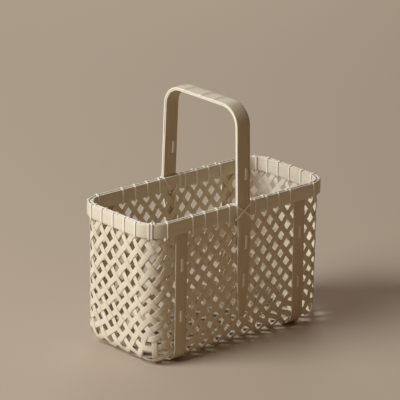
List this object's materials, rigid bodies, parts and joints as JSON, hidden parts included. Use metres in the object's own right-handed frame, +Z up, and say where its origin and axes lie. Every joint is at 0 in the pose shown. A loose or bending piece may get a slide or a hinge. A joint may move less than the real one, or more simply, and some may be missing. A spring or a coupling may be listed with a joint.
{
  "type": "bamboo basket bag",
  "caption": "Oblong hand basket in open diagonal bamboo weave with a two-hoop bound rim, two flat ribs under the base and a fixed upright handle.",
  "frame": {"origin": "centre of the basket's footprint on the floor", "axes": "+Z up through the opening and the handle, +X along the basket's length, +Y across it along the handle's arch"},
  "size_m": [0.3024, 0.149, 0.3125],
  "materials": {
    "splint_bamboo": "pale bleached bamboo, satin, fine lengthwise fibres",
    "hoop_bamboo": "pale bleached bamboo, satin",
    "strap_bamboo": "bamboo with its smooth outer skin, satin, faint nodes",
    "strand_bamboo": "thin split strand, satin"
  },
  "bodies": {
    "root": {"woven_strip_01": "splint_bamboo", "woven_strip_02": "splint_bamboo", "woven_strip_03": "splint_bamboo", "woven_strip_04": "splint_bamboo", "woven_strip_05": "splint_bamboo", "woven_strip_06": "splint_bamboo", "woven_strip_07": "splint_bamboo", "woven_strip_08": "splint_bamboo", "woven_strip_09": "splint_bamboo", "woven_strip_10": "splint_bamboo", "woven_strip_11": "splint_bamboo", "woven_strip_12": "splint_bamboo", "woven_strip_13": "splint_bamboo", "woven_strip_14": "splint_bamboo", "woven_strip_15": "splint_bamboo", "woven_strip_16": "splint_bamboo", "woven_strip_17": "splint_bamboo", "woven_strip_18": "splint_bamboo", "woven_strip_19": "splint_bamboo", "woven_strip_20": "splint_bamboo", "woven_strip_21": "splint_bamboo", "woven_strip_22": "splint_bamboo", "woven_strip_23": "splint_bamboo", "woven_strip_24": "splint_bamboo", "woven_strip_25": "splint_bamboo", "woven_strip_26": "splint_bamboo", "woven_strip_27": "splint_bamboo", "woven_strip_28": "splint_bamboo", "woven_strip_29": "splint_bamboo", "woven_strip_30": "splint_bamboo", "woven_strip_31": "splint_bamboo", "woven_strip_32": "splint_bamboo", "woven_strip_33": "splint_bamboo", "woven_strip_34": "splint_bamboo", "woven_strip_35": "splint_bamboo", "woven_strip_36": "splint_bamboo", "woven_strip_37": "splint_bamboo", "woven_strip_38": "splint_bamboo", "outer_rim_hoop": "hoop_bamboo", "inner_rim_hoop": "hoop_bamboo", "left_rib": "strap_bamboo", "right_rib": "strap_bamboo", "handle_outer_strip": "strap_bamboo", "handle_lining_strip": "strap_bamboo", "left_rib_front_lower_stitch": "strand_bamboo", "left_rib_front_upper_stitch": "strand_bamboo", "left_rib_back_lower_stitch": "strand_bamboo", "left_rib_back_upper_stitch": "strand_bamboo", "right_rib_front_lower_stitch": "strand_bamboo", "right_rib_front_upper_stitch": "strand_bamboo", "right_rib_back_lower_stitch": "strand_bamboo", "right_rib_back_upper_stitch": "strand_bamboo", "front_leg_lacing": "strand_bamboo", "back_leg_lacing": "strand_bamboo", "handle_front_stitch": "strand_bamboo", "handle_back_stitch": "strand_bamboo", "handle_front_lashing": "strand_bamboo", "handle_back_lashing": "strand_bamboo", "left_rim_binding": "strand_bamboo", "right_rim_binding": "strand_bamboo"}
  },
  "joints": []
}
